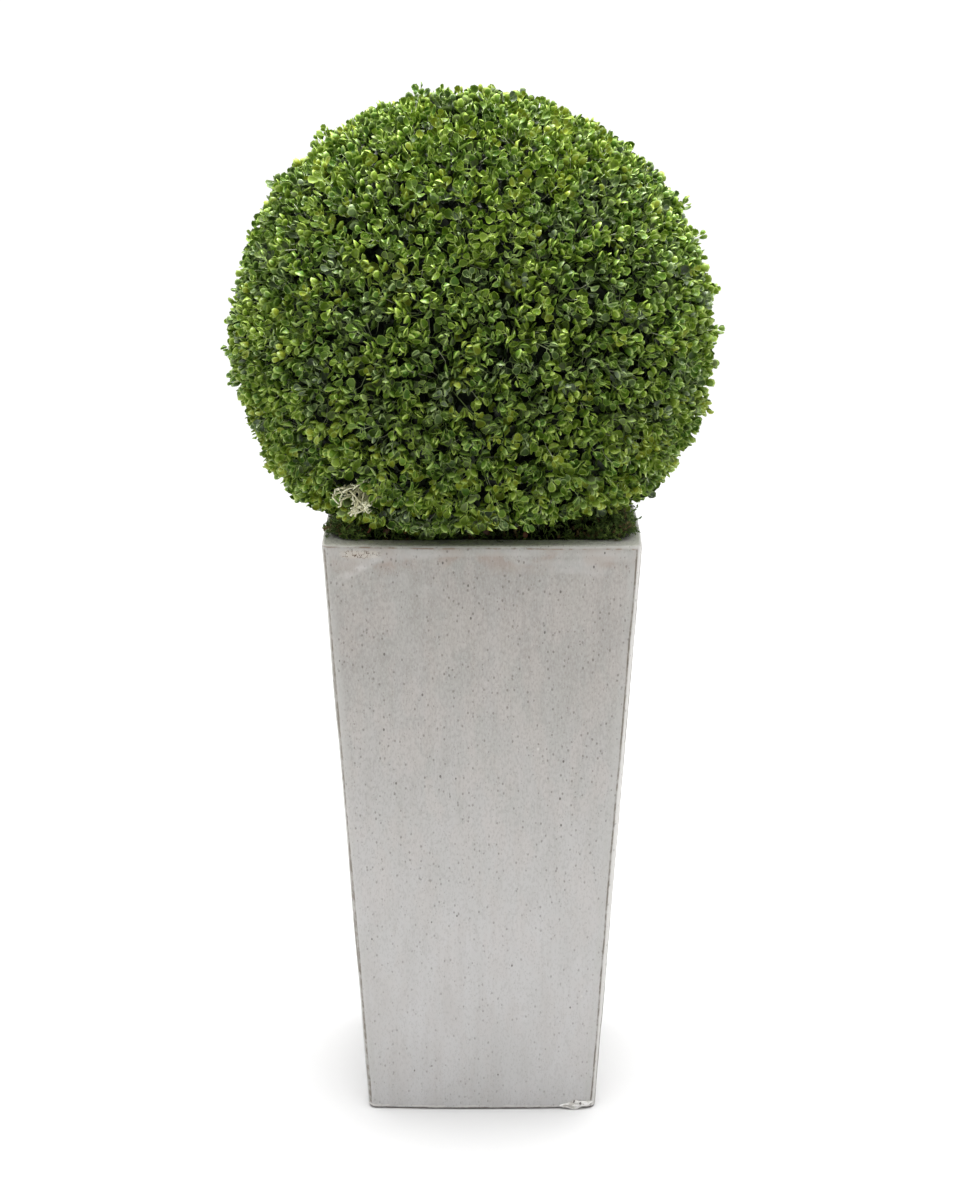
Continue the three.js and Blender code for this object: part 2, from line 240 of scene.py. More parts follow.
def add_copies(name, form, points, shades, materials):
    """One piece of many copies of a form. points holds each copy's own points, and shades the
    material that takes slot 0 of each copy. The form's other slots follow the shades."""
    copies, corners = points.shape[:2]
    faces = (form.triangles[None] + (np.arange(copies) * corners)[:, None, None]).reshape(-1, 3)
    shade_count = len(materials) - form.slots.max()
    slots = np.where(form.slots[None] == 0, shades[:, None], shade_count - 1 + form.slots[None])
    mesh = bpy.data.meshes.new(name)
    mesh.vertices.add(copies * corners)
    mesh.vertices.foreach_set("co", points.astype(np.float32).ravel())
    mesh.loops.add(faces.size)
    mesh.loops.foreach_set("vertex_index", faces.astype(np.int32).ravel())
    mesh.polygons.add(len(faces))
    mesh.polygons.foreach_set("loop_start", np.arange(0, faces.size, 3, dtype=np.int32))
    mesh.polygons.foreach_set("material_index", slots.astype(np.int32).ravel())
    mesh.update(calc_edges=True)
    mesh.shade_smooth()
    return add_object(name, mesh, materials)


# ---------------------------------------------------------------- materials

class Value:
    """A number or colour that varies over a surface: one output of a node. Values add, subtract
    and multiply with each other and with plain numbers."""

    def __init__(self, nodes, socket):
        self.nodes = nodes
        self.socket = socket

    def math(self, operation, *others):
        """This value put through a Math node with others."""
        return self.nodes.value("Math", 0, dict(enumerate((self, *others))), operation=operation)

    def __add__(self, other):
        return self.math("ADD", other)

    def __sub__(self, other):
        return self.math("SUBTRACT", other)

    def __rsub__(self, number):
        return self.nodes.value("Math", 0, {0: number, 1: self}, operation="SUBTRACT")

    def __mul__(self, other):
        return self.math("MULTIPLY", other)

    def __abs__(self):
        return self.math("ABSOLUTE")

    def mapped(self, low, high, to_low=0.0, to_high=1.0):
        """A smooth step from one range to another."""
        limits = {"From Min": low, "From Max": high, "To Min": to_low, "To Max": to_high}
        inputs = {"Value": self, **limits}
        return self.nodes.value("MapRange", "Result", inputs, interpolation_type="SMOOTHSTEP")

    def band(self, centre, half_width, edge):
        """1 where the value is within half_width of centre, fading to 0 over edge."""
        return abs(self - centre).mapped(half_width, half_width + edge, 1.0, 0.0)


class Nodes:
    """A node tree and the nodes that the finishes are made of."""

    def __init__(self, tree):
        self.tree = tree

    def put(self, socket, value):
        """Links a socket to a value, or sets it to a number or colour."""
        if isinstance(value, Value):
            self.tree.links.new(value.socket, socket)
        else:
            socket.default_value = value

    def node(self, kind, inputs, **settings):
        """A new node, with its inputs linked or set."""
        node = self.tree.nodes.new("ShaderNode" + kind)
        for key, setting in settings.items():
            setattr(node, key, setting)
        for key, value in inputs.items():
            self.put(node.inputs[key], value)
        return node

    def value(self, kind, output, inputs, **settings):
        """One output of a new node."""
        return Value(self, self.node(kind, inputs, **settings).outputs[output])

    def parts(self, vector):
        """The X, Y and Z of a vector."""
        node = self.node("SeparateXYZ", {"Vector": vector})
        return [Value(self, output) for output in node.outputs]

    def coordinates(self, scale=(1, 1, 1)):
        """Object coordinates, stretched by scale."""
        place = self.value("TexCoord", "Object", {})
        return self.value("Mapping", "Vector", {"Vector": place, "Scale": scale})

    def mixed(self, factor, a, b):
        """A mix of two colours."""
        return self.value("Mix", "Result", {"Factor": factor, "A": a, "B": b}, data_type="RGBA")

    def noise(self, pitch, detail=3.0, roughness=0.55, stretch=(1, 1, 1)):
        """Noise whose lumps are about pitch metres across."""
        inputs = {"Scale": 1 / pitch, "Detail": detail, "Roughness": roughness}
        return self.value("TexNoise", "Fac", {"Vector": self.coordinates(stretch), **inputs})


class Paint(Nodes):
    """A material of nodes and the colour laid on it so far."""

    def __init__(self, name, colour=None):
        self.material = bpy.data.materials.new(name)
        self.material.use_nodes = True
        super().__init__(self.material.node_tree)
        self.tree.nodes.clear()
        self.shader = self.node("BsdfPrincipled", {})
        surface = Value(self, self.shader.outputs["BSDF"])
        self.node("OutputMaterial", {"Surface": surface})
        self.colour = colour

    def lay(self, share, *colour):
        """Lays a colour over a share of the surface."""
        self.colour = self.mixed(share, self.colour, srgb(*colour))

    def lay_noise(self, pitch, detail, stretch, low, high, share, colour):
        """Lays a colour where a noise rises from low to high, and returns the noise."""
        cloud = self.noise(pitch, detail, 0.6, stretch)
        self.lay(cloud.mapped(low, high, 0.0, share), *colour)
        return cloud

    def lay_specks(self, pitch, size, cells, share, colour):
        """Lays round specks about size metres across in some of the cells, which are pitch metres
        across, and returns where they are."""
        inputs = {"Scale": 1 / pitch, "Vector": self.coordinates((1, 1, 0.62))}
        cell = self.node("TexVoronoi", inputs)
        radius = size / pitch / 2
        spot = Value(self, cell.outputs["Distance"]).mapped(0.65 * radius, radius, 1.0, 0.0)
        tint = Value(self, cell.outputs["Color"])
        specks = spot * self.value("SeparateColor", 0, {"Color": tint}).math("LESS_THAN", cells)
        self.lay(specks * share, *colour)
        return specks

    def finish(self, roughness, height=None, depth=0.0):
        """Joins the colour, roughness and relief to the shader and gives the material. The relief
        is a height from 0 to 1 over a depth in metres."""
        self.put(self.shader.inputs["Base Color"], self.colour)
        self.put(self.shader.inputs["Roughness"], roughness)
        if height is not None:
            inputs = {"Strength": 1.0, "Distance": depth, "Height": height}
            self.put(self.shader.inputs["Normal"], self.value("Bump", "Normal", inputs))
        return self.material


def plain(name, colour, roughness=0.45, specular=0.5):
    """A material of one colour."""
    paint = Paint(name, colour)
    paint.shader.inputs["Specular IOR Level"].default_value = specular
    return paint.finish(roughness)


def plains(name, colours, *finish):
    """Plain materials in several screen colours, named by number."""
    return [plain(f"{name}_{i}", srgb(*colour), *finish) for i, colour in enumerate(colours)]


def earthy_material(name, dark, light, pitch, roughness=0.95, depth=1.0):
    """A matte crumbly surface that varies between two colours."""
    paint = Paint(name, srgb(*dark))
    lumps = paint.noise(pitch, 5.0, 0.65)
    paint.lay(lumps.mapped(0.35, 0.7), *light)
    return paint.finish(roughness, lumps, depth * MM)


def mark_front_face(paint, x, y, to_lip, ragged):
    """The front face's own marks: a patch of brown crackle under the lip's left end, and a pale
    smear that climbs to it from the left arris."""
    front = y.math("LESS_THAN", -0.1)
    cracks = paint.noise(0.0074, 3.0, 0.6).band(0.5, 0.013, 0.014)
    patch = x.band(-0.144, 0.016, 0.012) * to_lip.band(0.0115, 0.0025, 0.004) * front
    paint.lay(patch * 0.35, 206, 196, 178)
    paint.lay(patch * cracks * 0.95, 86, 66, 48)
    climb = to_lip + x * 0.64 + ragged * 0.008
    smear = climb.band(-0.0600, 0.0020, 0.0070) * x.band(-0.150, 0.018, 0.016)
    smear = smear * ragged.mapped(0.34, 0.60, 0.10, 0.42)
    paint.lay(smear * front, 212, 210, 207)


def glaze_material(settings):
    """Grey stoneware glaze: streaked and mottled, speckled with iron, broken to brown along the
    arrises and pooled pale beside them."""
    paint = Paint("glazed_stoneware")
    places = paint.parts(paint.coordinates())
    x, y, z = (abs(place) for place in places)
    half_top = settings.top_width / 2
    slope = half_top * (1 - settings.foot_share) / LIP_TOP
    half = z.math("MULTIPLY_ADD", slope, half_top * settings.foot_share)
    wander = paint.noise(0.22, 2.0) * (5.0 * MM) + paint.noise(0.008, 2.0) * (1.0 * MM)
    # The glaze ran thicker on one side, so its break lines lie further in there.
    wander = wander - places[0] * 0.010
    to_arris = half - x.math("MINIMUM", y)
    to_lip = LIP_TOP - z
    inset = to_arris.math("MINIMUM", to_lip) + wander

    # Body colour: darker and warmer near the lip, the darkness a painted shade of the ball
    # over the pot's top, and lighter near the foot as painted light for the floor's bounce;
    # with greenish and pinkish clouds and fine upright runs, and calmer towards the foot.
    low, high = (srgb(*[c * 255 for c in g]) for g in (settings.glaze_low_painted_light, settings.glaze_high_painted_shade))
    paint.colour = paint.mixed(z.mapped(-0.05, LIP_TOP), low, high)
    clouds = paint.lay_noise(0.042, 4.0, (1, 1, 0.45), 0.38, 0.62, 0.26, (170, 172, 166))
    paint.lay_noise(0.034, 3.0, (1.2, 1, 0.5), 0.44, 0.62, 0.28, (192, 183, 177))
    streaks = paint.lay_noise(0.011, 4.0, (1, 1, 0.10), 0.47, 0.62, 0.14, (150, 144, 136))
    paint.lay_noise(0.02, 3.0, (1, 1, 0.08), 0.48, 0.64, 0.18, (184, 182, 180))
    fine = paint.lay_noise(0.0022, 3.0, (1, 1, 0.45), 0.48, 0.64, 0.34, (136, 132, 127))
    paint.lay(fine.mapped(0.34, 0.47, 0.30, 0.0), 190, 188, 184)
    paint.lay(z.mapped(0.06, 0.62, 0.52, 0.0), 188, 186, 185)
    tan = to_lip.band(0.014, 0.004, 0.024)
    paint.lay(tan * paint.noise(0.035, 3.0, 0.6).mapped(0.42, 0.62, 0.0, 0.55), 160, 143, 130)
    wisps = paint.noise(0.055, 2.0, 0.5, (0.5, 0.5, 1.8)).mapped(0.54, 0.68, 0.0, 0.4)
    paint.lay(wisps * to_lip.band(0.028, 0.010, 0.030), 190, 189, 187)

    # Glaze pooled beside the arrises, a pale strip right along them and under the lip that is a
    # painted highlight of the rounded corners, and worn thin to brown right on their shoulders.
    pooled = paint.noise(0.05, 2.0).mapped(0.35, 0.65, 0.15, 0.55)
    paint.lay(inset.band(12 * MM, 2.0 * MM, 5 * MM) * pooled, 182, 181, 177)
    paint.lay(inset.mapped(5 * MM, 8 * MM, 0.8, 0.0), 206, 204, 200)
    ragged = paint.noise(0.012, 3.0)
    line = (to_arris + wander).band(7.6 * MM, 0.65 * MM, 0.9 * MM)
    line = line * ragged.mapped(0.30, 0.60, 0.30, 0.85) * to_lip.mapped(4 * MM, 8 * MM)
    paint.lay(line, 98, 88, 72)
    line = (to_lip + wander).band(7.4 * MM, 0.30 * MM, 1.0 * MM)
    paint.lay(line * ragged.mapped(0.42, 0.62, 0.0, 0.75), 134, 110, 88)

    # The lip's flat top is rough and bare, and painted near-white: painted light that lifts the
    # shade of the ball above it. Its front edge is a ragged whitish line.
    rough_lip = paint.noise(0.0045, 5.0, 0.7).mapped(0.36, 0.64)
    lip_painted_light_colour = paint.mixed(rough_lip, srgb(206, 203, 195), srgb(243, 241, 236))
    on_lip = to_lip.mapped(0.8 * MM, 2.4 * MM, 0.9, 0.0)
    paint.colour = paint.mixed(on_lip, paint.colour, lip_painted_light_colour)
    # Painted highlight: a ragged whitish line where the lip's front edge catches the light.
    edge = (to_lip + ragged * (3.0 * MM)).band(3.4 * MM, 0.4 * MM, 0.9 * MM)
    paint.lay(edge * paint.noise(0.02, 3.0).mapped(0.42, 0.60, 0.15, 0.9), 214, 212, 207)
    mark_front_face(paint, places[0], places[1], to_lip, ragged)

    # The foot has a ragged pale rim, and below it the last few millimetres darken to brown.
    foot = z + ragged * (4 * MM)
    pale_foot = paint.noise(0.018, 3.0).mapped(0.40, 0.58, 0.15, 0.80)
    paint.lay(foot.band(6.8 * MM, 0.5 * MM, 1.4 * MM) * pale_foot, 216, 213, 208)
    paint.lay(foot.mapped(3.8 * MM, 5.2 * MM, 0.85, 0.0), 84, 70, 60)

    # Iron specks, freckles, pin holes and pale blisters.
    share = z.mapped(0.05, 0.5, 0.30, 0.44)
    specks = paint.lay_specks(6 * MM, 2.6 * MM, 0.50, share, (100, 92, 84))
    share = z.mapped(0.05, 0.5, 0.20, 0.32)
    paint.lay_specks(3.4 * MM, 1.8 * MM, 0.40, share, (112, 106, 98))
    pits = paint.lay_specks(18 * MM, 2.9 * MM, 0.55, 0.75, (78, 72, 66))
    paint.lay_specks(31 * MM, 3.2 * MM, 0.30, 0.6, (206, 204, 200))

    height = paint.noise(0.004, 3.0) * 0.5 + (specks + pits) * -0.9 + streaks * 0.5
    return paint.finish(clouds.mapped(0.3, 0.7, 0.36, 0.50), height, 0.45 * MM)


def roll_material():
    """Pale crawled glaze with dark pin holes."""
    paint = Paint("glaze_roll", srgb(186, 182, 176))
    folds = paint.lay_noise(0.006, 4.0, (0.5, 1, 1.6), 0.38, 0.60, 1.0, (246, 245, 242))
    holes = paint.lay_specks(6.5 * MM, 3.6 * MM, 0.6, 0.85, (84, 74, 68))
    return paint.finish(0.35, folds - holes, 0.6 * MM)


# ---------------------------------------------------------------- pot

def pot_half_width(settings, z):
    """Half the pot's width at a height, without the bow of its faces."""
    top = settings.top_width / 2
    return top * (settings.foot_share + (1 - settings.foot_share) * z / LIP_TOP)


def is_inside(a, b, limit):
    """True for an edge whose middle lies nearer the upright axis than a limit."""
    middle = (a.co + b.co) / 2
    return max(abs(middle.x), abs(middle.y)) < limit


def upright_edges(bm, inside, settings):
    """The edges that run up the pot's corners, outside or inside."""
    found = []
    for e in bm.edges:
        a, b = e.verts
        if abs(a.co.z - b.co.z) < 0.01:
            continue
        limit = pot_half_width(settings, (a.co.z + b.co.z) / 2) - WALL / 2
        if is_inside(a, b, limit) == inside:
            found.append(e)
    return found


def level_edges(bm, z, inside, settings):
    """The edges of the ring at a height, outside or inside."""
    limit = pot_half_width(settings, z) - settings.lip_width / 2
    found = []
    for e in bm.edges:
        if all(abs(v.co.z - z) < 1e-5 for v in e.verts) and len(e.link_faces) == 2:
            if e.calc_face_angle(0) > 0.5 and is_inside(*e.verts, limit) == inside:
                found.append(e)
    return found


def bevel(bm, edges, offset, segments):
    """Rounds edges."""
    bmesh.ops.bevel(
        bm,
        geom=edges,
        offset=offset,
        affect="EDGES",
        segments=segments,
        profile=0.5,
        material=-1,
        clamp_overlap=False,
    )


def slice_evenly(bm, axis, low, high, step):
    """Cuts slices through the mesh at even steps along an axis."""
    count = int((high - low) / step)
    normal = Vector((0, 0, 0))
    normal[axis] = 1
    for i in range(1, count):
        point = normal * (low + (high - low) * i / count)
        geom = bm.verts[:] + bm.edges[:] + bm.faces[:]
        bmesh.ops.bisect_plane(bm, geom=geom, plane_co=point, plane_no=normal, dist=1e-6)


def face_bow(along, half):
    """How far a face bows out at a distance from its middle."""
    return FACE_BOW * max(0.0, 1 - (along / half) ** 2)


def push_by_hand(bm, settings):
    """Bows the faces and gives the thrown clay its slight unevenness."""
    for v in bm.verts:
        half = pot_half_width(settings, v.co.z)
        x, y, z = v.co
        if max(abs(x), abs(y)) > half - WALL / 2:
            wave = noise.noise(v.co * 9.0) * 1.1 + noise.noise(v.co * 31.0) * 0.35
            if abs(x) > abs(y):
                v.co.x += math.copysign(face_bow(y, half) + wave * MM, x)
            else:
                v.co.y += math.copysign(face_bow(x, half) + wave * MM, y)
        if z > LIP_TOP - 0.012:
            v.co.z += (noise.noise(v.co * 14.0) - 0.6) * MM


def make_pot_mesh(settings):
    """The pot: a tapered square block hollowed under a turned-in lip, then rounded and sliced."""
    bm = bmesh.new()
    bmesh.ops.create_cube(bm, size=1.0)
    for v in bm.verts:
        z = (v.co.z + 0.5) * LIP_TOP
        half = pot_half_width(settings, z)
        v.co = Vector((math.copysign(half, v.co.x), math.copysign(half, v.co.y), z))
    bm.faces.ensure_lookup_table()
    top = max(bm.faces, key=lambda f: f.calc_center_median().z)
    bmesh.ops.inset_region(bm, faces=[top], thickness=settings.lip_width, use_even_offset=True)
    mouth = settings.top_width / 2 - settings.lip_width
    shoulder = LIP_TOP - LIP_DEPTH
    wide = pot_half_width(settings, shoulder) - WALL
    floor = pot_half_width(settings, FLOOR) - WALL
    half_now = mouth
    for half, z in ((mouth, shoulder), (wide, shoulder), (floor, FLOOR)):
        made = bmesh.ops.extrude_face_region(bm, geom=[top])
        bmesh.ops.delete(bm, geom=[top], context="FACES_ONLY")
        scale = half / half_now
        for part in made["geom"]:
            if isinstance(part, bmesh.types.BMVert):
                part.co = (part.co.x * scale, part.co.y * scale, z)
            elif isinstance(part, bmesh.types.BMFace):
                top = part
        half_now = half
    bevel(bm, upright_edges(bm, False, settings), CORNER_RADIUS, CORNER_SEGMENTS)
    bevel(bm, upright_edges(bm, True, settings), CAVITY_CORNER, CORNER_SEGMENTS - 2)
    for z, inside, offset in (
        (LIP_TOP, False, LIP_ROUND),
        (LIP_TOP, True, MOUTH_ROUND),
        (0.0, False, FOOT_ROUND),
    ):
        bevel(bm, level_edges(bm, z, inside, settings), offset, EDGE_SEGMENTS)
    reach = settings.top_width / 2
    for axis, low, high in ((2, 0.0, LIP_TOP), (0, -reach, reach), (1, -reach, reach)):
        slice_evenly(bm, axis, low, high, FACE_STEP)
    push_by_hand(bm, settings)
    return bm


def make_roll_mesh(settings):
    """A crumpled roll of glaze that ran down to the foot's right front corner."""
    bm = bmesh.new()
    bmesh.ops.create_icosphere(bm, subdivisions=4, radius=1.0)
    half = pot_half_width(settings, ROLL_HEIGHT)
    # The crumple's vector noise takes its seed from the clock unless it is given one.
    noise.seed_set(ROLL_SEED)
    for v in bm.verts:
        x, y, z = v.co
        fold = noise.noise(Vector((x * 3.5, y * 1.5, z * 2.0))) * 0.5
        taper = 1 - 0.35 * x * x
        along = half - 0.0245 + 0.0215 * x
        round_off = max(0.0, along - (half - CORNER_RADIUS)) / CORNER_RADIUS
        back = CORNER_RADIUS * (1 - math.sqrt(max(0.0, 1 - round_off * round_off)))
        out = 0.0046 * y * (taper + fold)
        up = ROLL_HEIGHT + 0.0054 * z * (taper + fold) + 0.0022 * x
        v.co = Vector((along, -half - face_bow(along, half) + back + out, up))
        v.co += noise.noise_vector(v.co * 420) * 0.5 * MM
    return bm


# ---------------------------------------------------------------- stem and core

def add_outline(bm, points):
    """Adds a chain of edges through points in the XZ plane."""
    chain = [bm.verts.new((x, 0, z)) for x, z in points]
    return [bm.edges.new(pair) for pair in zip(chain, chain[1:])]


def spin_outline(bm, steps):
    """Spins everything about the upright axis into a closed solid."""
    bmesh.ops.spin(
        bm,
        geom=bm.verts[:] + bm.edges[:],
        cent=(0, 0, 0),
        axis=(0, 0, 1),
        angle=2 * math.pi,
        steps=steps,
        use_merge=True,
    )
    bmesh.ops.remove_doubles(bm, verts=bm.verts[:], dist=1e-6)


def make_stem_mesh():
    """The stem: a flared, tapered post with bark in relief."""
    low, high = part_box(STEM_NODE)
    centre = (low + high) / 2
    sides = [(radius, low.z + z) for z, radius in STEM_PROFILE]
    bm = bmesh.new()
    edges = add_outline(bm, [(0, low.z), *sides, (STEM_TOP_RADIUS, high.z), (0, high.z)])
    bmesh.ops.subdivide_edges(bm, edges=[edges[-2]], cuts=26)
    spin_outline(bm, 36)
    for v in bm.verts:
        if low.z + 1e-4 < v.co.z < high.z - 1e-4:
            flat = Vector((v.co.x, v.co.y, 0))
            ridges = noise.noise(Vector((v.co.x * 160, v.co.y * 160, v.co.z * 22)))
            v.co += flat.normalized() * (ridges * 1.1 - 0.6) * MM
    bmesh.ops.translate(bm, verts=bm.verts[:], vec=(centre.x, centre.y, 0))
    return bm


def make_core_mesh():
    """The core: a lumpy ball, painted near-black green as the shade deep inside the foliage, with a
    socket up its middle for the stem.
    """
    _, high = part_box(STEM_NODE)
    socket_top = high.z + 0.0006 - BALL_CENTRE[2]
    start = math.asin(SOCKET_RADIUS / CORE_RADIUS)
    angles = np.linspace(start, math.pi, 41)
    sides = [(CORE_RADIUS * math.sin(a), -CORE_RADIUS * math.cos(a)) for a in angles]
    bm = bmesh.new()
    add_outline(bm, [(0, socket_top), (SOCKET_RADIUS, socket_top), *sides])
    spin_outline(bm, 72)
    for v in bm.verts:
        if math.hypot(v.co.x, v.co.y) > 0.03 or v.co.z > 0.05:
            v.co *= 1 + 0.02 * noise.noise(v.co * 38)
    bmesh.ops.translate(bm, verts=bm.verts[:], vec=Vector(BALL_CENTRE))
    return bm


# ---------------------------------------------------------------- growth of the ball

def spiral_directions(count, jitter):
    """Directions spread evenly over the ball on a golden spiral, nudged by the jitter."""
    k = np.arange(count)
    z = 1 - (2 * k + 1) / count
    flat = np.sqrt(1 - z * z)
    around = k * GOLDEN_ANGLE
    directions = np.stack([flat * np.cos(around), flat * np.sin(around), z], axis=1)
    step = math.sqrt(4 * math.pi / count) * jitter
    nudge = np.stack([chance(k, 1), chance(k, 2), chance(k, 3)], axis=1) - 0.5
    return unit(directions + 2 * step * nudge)


def lichen_centre():
    """Middle of the lichen tuft."""
    low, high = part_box("lichen_tuft")
    return np.array((low + high) / 2) + [-0.004, 0, 0]


def moss_height(points):
    """How high the moss stands under each point: a little above the lip, higher towards both
    ends of the front, and highest at the wads in the corners."""
    x, y = points[..., 0], points[..., 1]
    right = 0.014 * smoothly((x + 0.045) / 0.06) + 0.007 * smoothly((x - 0.05) / 0.07)
    left = 0.012 * smoothly((-x - 0.075) / 0.045)
    overhang = 0.006 * smoothly((square_reach(points) - 0.16) / 0.03)
    height = LIP_TOP + 0.004 + (right + left) * smoothly(-y / 0.06) + overhang
    for node in WAD_NODES:
        low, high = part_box(node)
        along = np.minimum(x - low.x, high.x - x) + 0.012
        side = np.minimum(y - low.y, high.y - y) + 0.012
        share = smoothly(np.minimum(along, side) / 0.030)
        height = np.maximum(height, LIP_TOP + (high.z - LIP_TOP) * share)
    return height


def in_mouth(points, settings, margin):
    """True for points over the pot's mouth, within a margin of its edge."""
    return square_reach(points) < settings.top_width / 2 - settings.lip_width - margin


class Sprigs:
    """Every fine sprig of the ball: where it roots on its bough, where its tip is, which way it
    points, and its family and shade."""

    def __init__(self, ball, pot):
        k = np.arange(ball.sprig_count)
        d = spiral_directions(ball.sprig_count, SPRIG_JITTER)
        self.directions = d
        self.bough_directions = spiral_directions(BOUGH_COUNT, BOUGH_JITTER)
        owner = np.argmax(d @ self.bough_directions.T, axis=1)

        # The shears left shallow hollows and swellings, and a few sprigs have grown proud.
        proud = chance(k, 6) < PROUD_SHARE
        reach = BALL_RADIUS - 0.0080 - 0.0110 * chance(k, 4)
        reach = reach + np.where(proud, 0.005 + 0.010 * chance(k, 8), 0.0)
        swell = np.sin(d[:, 0] * 9 + 1) + np.sin(d[:, 1] * 8 + 2) + np.sin(d[:, 2] * 10 + d[:, 0] * 5)
        reach = reach + 0.0011 * swell
        lean = 0.82 * np.sqrt(chance(k, 5)) * np.where(proud, 0.4, 1.0)
        sideways = turned(*across(d), (2 * math.pi * chance(k, 7))[:, None])[0]
        self.axes = unit(d + sideways * lean[:, None])
        self.tips = BALL_CENTRE + d * reach[:, None]
        fork = FORK_RADIUS + 0.014 * chance(k, 9)
        self.roots = BALL_CENTRE + self.bough_directions[owner] * fork[:, None]
        self.seeds = k
        self.turns = 2 * math.pi * chance(k, 11)

        # Sprigs over the lip are pressed up on to it, and those inside the pot are left out.
        over_pot = square_reach(self.tips) < pot.top_width / 2 + 0.05
        floor = moss_height(self.tips) + 0.006 + 0.009 * chance(k, 12)
        deep = over_pot & (self.tips[:, 2] < floor - 0.030)
        low = over_pot & (self.tips[:, 2] < floor)
        inner = in_mouth(self.tips, pot, 0.012)
        lifted = low & ~inner
        self.tips[lifted, 2] = floor[lifted]
        self.axes[lifted, 2] = np.maximum(self.axes[lifted, 2], 0.05)
        self.axes = unit(self.axes)
        near_lichen = np.linalg.norm(self.tips - lichen_centre(), axis=1) < 0.025
        kept = ~(deep | (low & inner)) & ~near_lichen
        for key in ("directions", "axes", "tips", "roots", "seeds", "turns"):
            setattr(self, key, getattr(self, key)[kept])

        # Families and shades are dealt out in loose clumps, leaning to the lighter ones near the top
        # and round the underside: painted light on the ball's top and on its lower sides.
        d = self.directions
        clump = 0.08 * (np.sin(d[:, 0] * 21) * np.sin(d[:, 1] * 17 + 1) + np.sin(d[:, 2] * 19 + 2))
        painted_light_share = 0.16 * smoothly((d[:, 2] - 0.55) / 0.38)
        painted_light_share += 0.14 * smoothly((-0.05 - d[:, 2]) / 0.3)
        draw = np.clip(chance(self.seeds, 13) + clump - painted_light_share, 0, 0.9999)
        limits = np.cumsum(list(FAMILIES.values()))
        self.families = np.minimum(np.searchsorted(limits, draw), len(FAMILIES) - 1)
        self.shades = np.searchsorted(SHADE_LIMITS, chance(self.seeds, 14) + painted_light_share)


def tube_form(sides, rings):
    """A unit tube up +Z with a given number of rings."""
    bm = bmesh.new()
    bmesh.ops.create_cone(
        bm, cap_ends=True, segments=sides, radius1=1.0, radius2=1.0, depth=1.0
    )
    bmesh.ops.translate(bm, verts=bm.verts[:], vec=(0, 0, 0.5))
    slice_evenly(bm, 2, 0.0, 1.0, 1.0 / rings)
    return Form(bm)


def bend_tubes(form, p0, p1, p2, p3, radius_low, radius_high):
    """Copies of a tube, each bent along its own cubic curve."""
    x, y, t = (form.points[None, :, i : i + 1] for i in range(3))
    s = 1 - t
    a, b, c, d = (p[:, None, :] for p in (p0, p1, p2, p3))
    middle = s**3 * a + 3 * s * s * t * b + 3 * s * t * t * c + t**3 * d
    ahead = unit(3 * s * s * (b - a) + 6 * s * t * (c - b) + 3 * t * t * (d - c))
    helper = unit(np.cross(d - a, [0.31, 0.72, 0.62]))
    side = unit(helper - (helper * ahead).sum(axis=-1, keepdims=True) * ahead)
    other = np.cross(ahead, side)
    return middle + (side * x + other * y) * (radius_low + (radius_high - radius_low) * t)


def leaf_form(sides, detailed):
    """A spoon-shaped leaf along +X, facing +Z: a flat stalk, a blade broadest beyond its middle
    and, when detailed, a raised margin in a slot of its own."""
    bm = bmesh.new()
    bmesh.ops.create_circle(bm, cap_ends=True, segments=sides, radius=0.5)
    face = bm.faces[:][0]
    if detailed:
        ring = bmesh.ops.inset_region(
            bm, faces=[face], thickness=MARGIN, use_boundary=True, use_even_offset=True
        )
        for f in ring["faces"]:
            f.material_index = 1
    bmesh.ops.poke(bm, faces=[face])
    for v in bm.verts:
        t = min(v.co.x + 0.5, 0.97)
        round_part = min(1.0, (v.co.length / 0.5) ** 2)
        width = 0.62 * (0.45 + 1.0 * t - 0.30 * t * t)
        height = -0.21 * (1 - round_part) + 0.11 * t * t - 0.03
        v.co = Vector((STALK + (1 - STALK) * t, v.co.y * width, height))
    thin, end = STALK_HALF_WIDTH, STALK + 0.10
    corners = [(0, -thin, 0), (end, -thin, -0.03), (end, thin, -0.03), (0, thin, 0)]
    strip = bm.faces.new([bm.verts.new(c) for c in corners])
    strip.material_index = int(detailed)
    return Form(bm)


def leaf_points(form, sprigs, pairs, length, pair_start):
    """The points of every leaf of some pairs on every sprig: sprigs, leaves, points, xyz."""
    seed = sprigs.seeds
    axes = sprigs.axes
    x, y, z = (form.points[None, :, i : i + 1] for i in range(3))
    blades = []
    for number, (drop, open_degrees, size) in enumerate(pairs, pair_start):
        for end in range(2):
            choice = 100 + 10 * number + 5 * end
            turn = sprigs.turns + number * math.pi / 2 + end * math.pi
            turn = turn + 1.2 * (chance(seed, choice) - 0.5)
            outward = turned(*across(axes), turn[:, None])[0]
            opening = np.radians(open_degrees + 44 * (chance(seed, choice + 1) - 0.5))[:, None]
            along, back = turned(axes, outward, opening)
            roll = (chance(seed, choice + 2) - 0.5)[:, None]
            facing, wide = turned(-back, np.cross(-back, along), roll)
            scale = length * size * (0.76 + 0.44 * chance(seed, choice + 3))[:, None, None]
            cup = (0.5 + 1.1 * chance(seed, choice + 4))[:, None, None]
            points = along[:, None] * x
            points = points + wide[:, None] * y * (0.92 + 0.2 * cup / 1.6)
            points = points + facing[:, None] * z * cup
            root = sprigs.tips - axes * drop
            blades.append(root[:, None] + points * scale)
    return np.stack(blades, axis=1)


